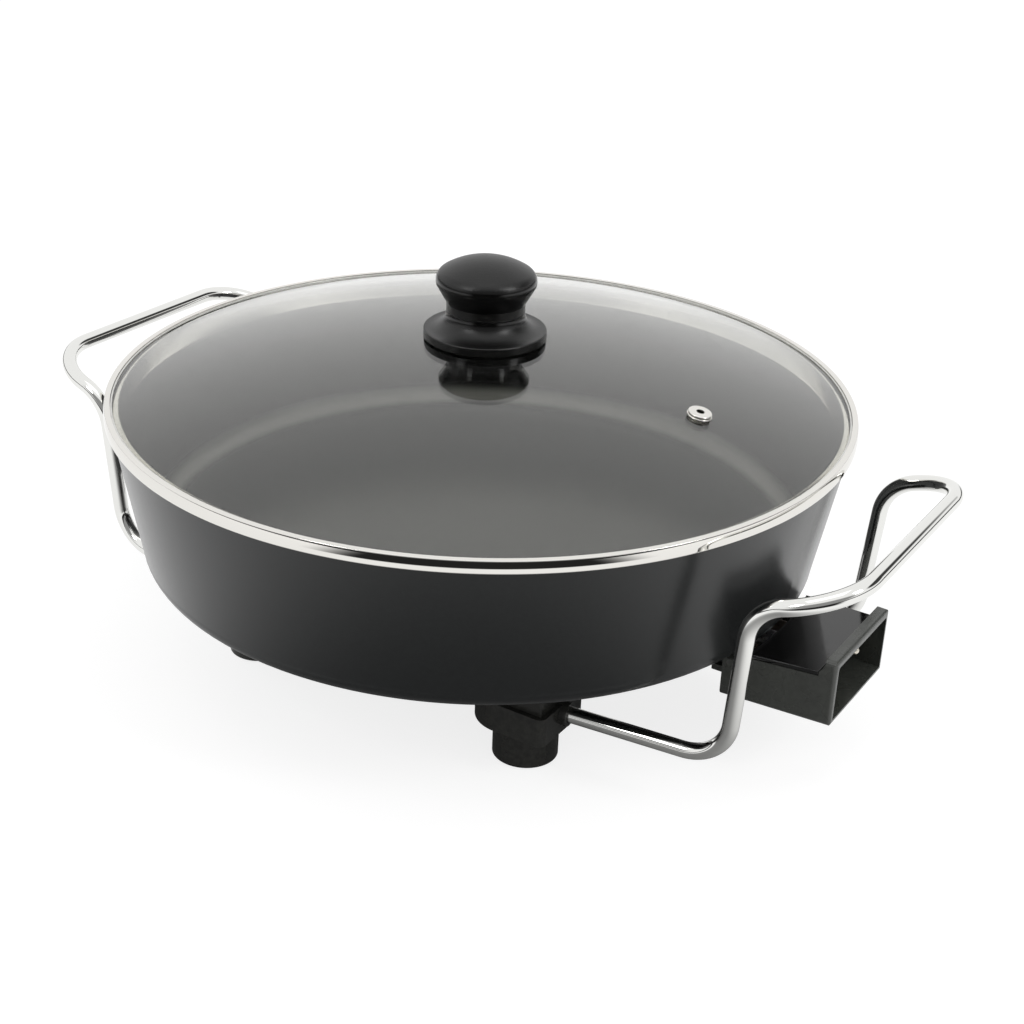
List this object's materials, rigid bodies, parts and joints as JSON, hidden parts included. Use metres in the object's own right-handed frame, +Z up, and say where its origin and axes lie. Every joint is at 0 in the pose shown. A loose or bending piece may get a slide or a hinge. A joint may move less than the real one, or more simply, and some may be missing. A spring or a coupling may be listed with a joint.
{
  "type": "electric skillet",
  "caption": "Round electric skillet: non-stick pan on low feet, bent rod handles, side socket for a removable thermostat, domed glass lid that lifts off by its knob.",
  "frame": {"origin": "on the table, under the pan's vertical axis, in the middle of the four feet", "axes": "+Z up along the pan's axis; +X towards the thermostat socket; +Y to the back, away from the side the picture shows nearest"},
  "size_m": [0.5016, 0.4, 0.2258],
  "materials": {
    "pan_coating": "satin dark non-stick coating on cast aluminium",
    "heater_sheath": "heat-darkened sheath",
    "plain_steel": "plain",
    "screw_steel": "zinc plated",
    "contact_nickel": "nickel plated",
    "ceramic": "unglazed",
    "carrier_plastic": "heat-proof moulding",
    "earth_brass": "spring strip",
    "housing_plastic": "semi-gloss black",
    "plate_plastic": "high gloss black",
    "leg_plastic": "semi-gloss black",
    "foot_plastic": "semi-gloss black",
    "pad_rubber": "matt",
    "handle_chrome": "bright chrome plate",
    "lid_glass": "clear, very light grey",
    "band_steel": "polished",
    "gasket_rubber": "matt",
    "eyelet_steel": "polished",
    "knob_plastic": "fine grain, satin",
    "insert_brass": "plain",
    "seal_rubber": "matt"
  },
  "bodies": {
    "cooker": {"pan_body": "pan_coating", "heating_element": "heater_sheath", "element_clips": "plain_steel", "clip_screws": "screw_steel", "probe_sleeve": "plain_steel", "contact_pin_left": "contact_nickel", "contact_pin_right": "contact_nickel", "pin_insulator_left": "ceramic", "pin_insulator_right": "ceramic", "contact_carrier": "carrier_plastic", "earth_contact": "earth_brass", "socket_housing": "housing_plastic", "socket_top": "plate_plastic", "socket_screws": "screw_steel", "leg_block_front_right": "leg_plastic", "foot_front_right": "foot_plastic", "foot_pad_front_right": "pad_rubber", "leg_block_front_left": "leg_plastic", "foot_front_left": "foot_plastic", "foot_pad_front_left": "pad_rubber", "leg_block_back_right": "leg_plastic", "foot_back_right": "foot_plastic", "foot_pad_back_right": "pad_rubber", "leg_block_back_left": "leg_plastic", "foot_back_left": "foot_plastic", "foot_pad_back_left": "pad_rubber", "foot_screws": "screw_steel", "handle_right": "handle_chrome", "handle_left": "handle_chrome", "handle_screws": "screw_steel"},
    "lid": {"lid_glass": "lid_glass", "lid_band": "band_steel", "lid_gasket": "gasket_rubber", "vent_eyelet": "eyelet_steel", "knob_cap": "knob_plastic", "knob_insert": "insert_brass", "knob_skirt": "knob_plastic", "knob_seal": "seal_rubber", "knob_washer": "plain_steel", "knob_screw": "screw_steel"}
  },
  "joints": [
    {"name": "lid_lift", "type": "slide", "parent": "cooker", "child": "lid", "axis": [0, 0, 1], "range_m": [0, 0.15]}
  ]
}
